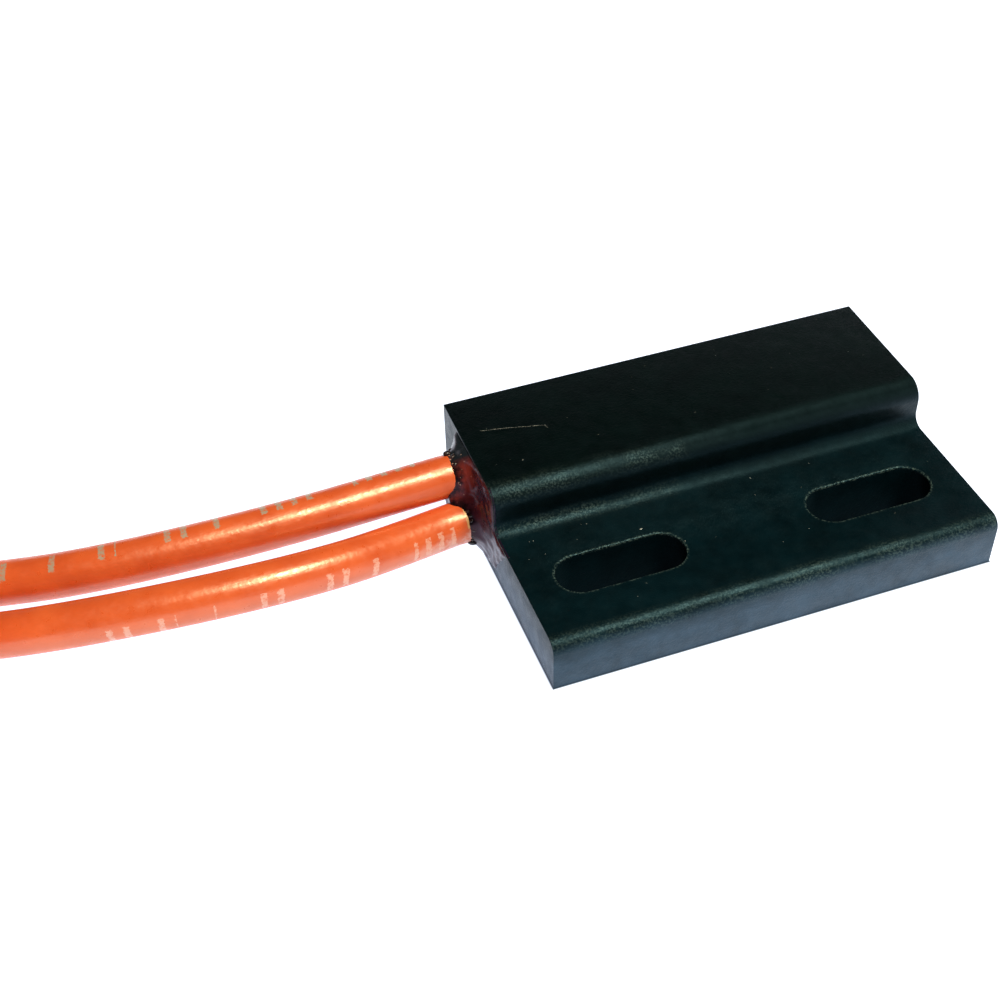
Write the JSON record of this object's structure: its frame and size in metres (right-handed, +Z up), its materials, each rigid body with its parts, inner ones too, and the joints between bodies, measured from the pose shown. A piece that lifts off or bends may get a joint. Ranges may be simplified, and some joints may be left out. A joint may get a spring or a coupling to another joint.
{
  "type": "door contact sensor",
  "caption": "Small black flange-mount reed door contact sensor with screw slots, red resin potting and orange flying leads tied in a hank.",
  "frame": {"origin": "middle of the housing's underside", "axes": "+X along the housing, away from the end where the leads leave; +Y across it, from the slotted flange to the raised block; +Z up, out of the surface it is screwed to"},
  "size_m": [0.1094, 0.025, 0.0092],
  "materials": {
    "black_plastic": "satin",
    "red_resin": "gloss",
    "clear_glass": "polished",
    "nickel_iron": "satin",
    "tinned_brass": "satin",
    "tinned_copper": "satin",
    "black_sleeve": "matte",
    "orange_pvc": "satin",
    "white_tie": "satin"
  },
  "bodies": {
    "sensor": {"housing": "black_plastic", "potting": "red_resin", "reed_glass": "clear_glass", "near_reed_lead": "nickel_iron", "far_reed_lead": "nickel_iron", "near_splice_crimp": "tinned_brass", "far_splice_crimp": "tinned_brass", "front_strand_1": "tinned_copper", "front_strand_2": "tinned_copper", "front_strand_3": "tinned_copper", "front_strand_4": "tinned_copper", "front_strand_5": "tinned_copper", "front_strand_6": "tinned_copper", "front_strand_7": "tinned_copper", "rear_strand_1": "tinned_copper", "rear_strand_2": "tinned_copper", "rear_strand_3": "tinned_copper", "rear_strand_4": "tinned_copper", "rear_strand_5": "tinned_copper", "rear_strand_6": "tinned_copper", "rear_strand_7": "tinned_copper", "rear_lead_tip": "tinned_copper", "front_lead_tip": "tinned_copper", "capsule_sleeve": "black_sleeve", "near_splice_sleeve": "black_sleeve", "far_splice_sleeve": "black_sleeve", "rear_lead": "orange_pvc", "front_lead": "orange_pvc", "rear_lead_tail": "orange_pvc", "front_lead_tail": "orange_pvc", "lead_hank": "orange_pvc", "lead_tie": "white_tie"},
    "near_blade": {"near_reed_blade": "nickel_iron"},
    "far_blade": {"far_reed_blade": "nickel_iron"}
  },
  "joints": [
    {"name": "near_blade_bend", "type": "hinge", "parent": "sensor", "child": "near_blade", "pos_m": [-0.00428, 0.003, 0.00248], "axis": [0, 1, 0], "range_deg": [0, 0.9], "stiffness_Nm_per_rad": 0.0005},
    {"name": "far_blade_bend", "type": "hinge", "parent": "sensor", "child": "far_blade", "pos_m": [0.00532, 0.003, 0.00212], "axis": [0, 1, 0], "range_deg": [0, 0.9], "stiffness_Nm_per_rad": 0.0005}
  ],
  "couplings": [
    {"joint": "far_blade_bend", "follows": "near_blade_bend", "ratio": 1}
  ]
}
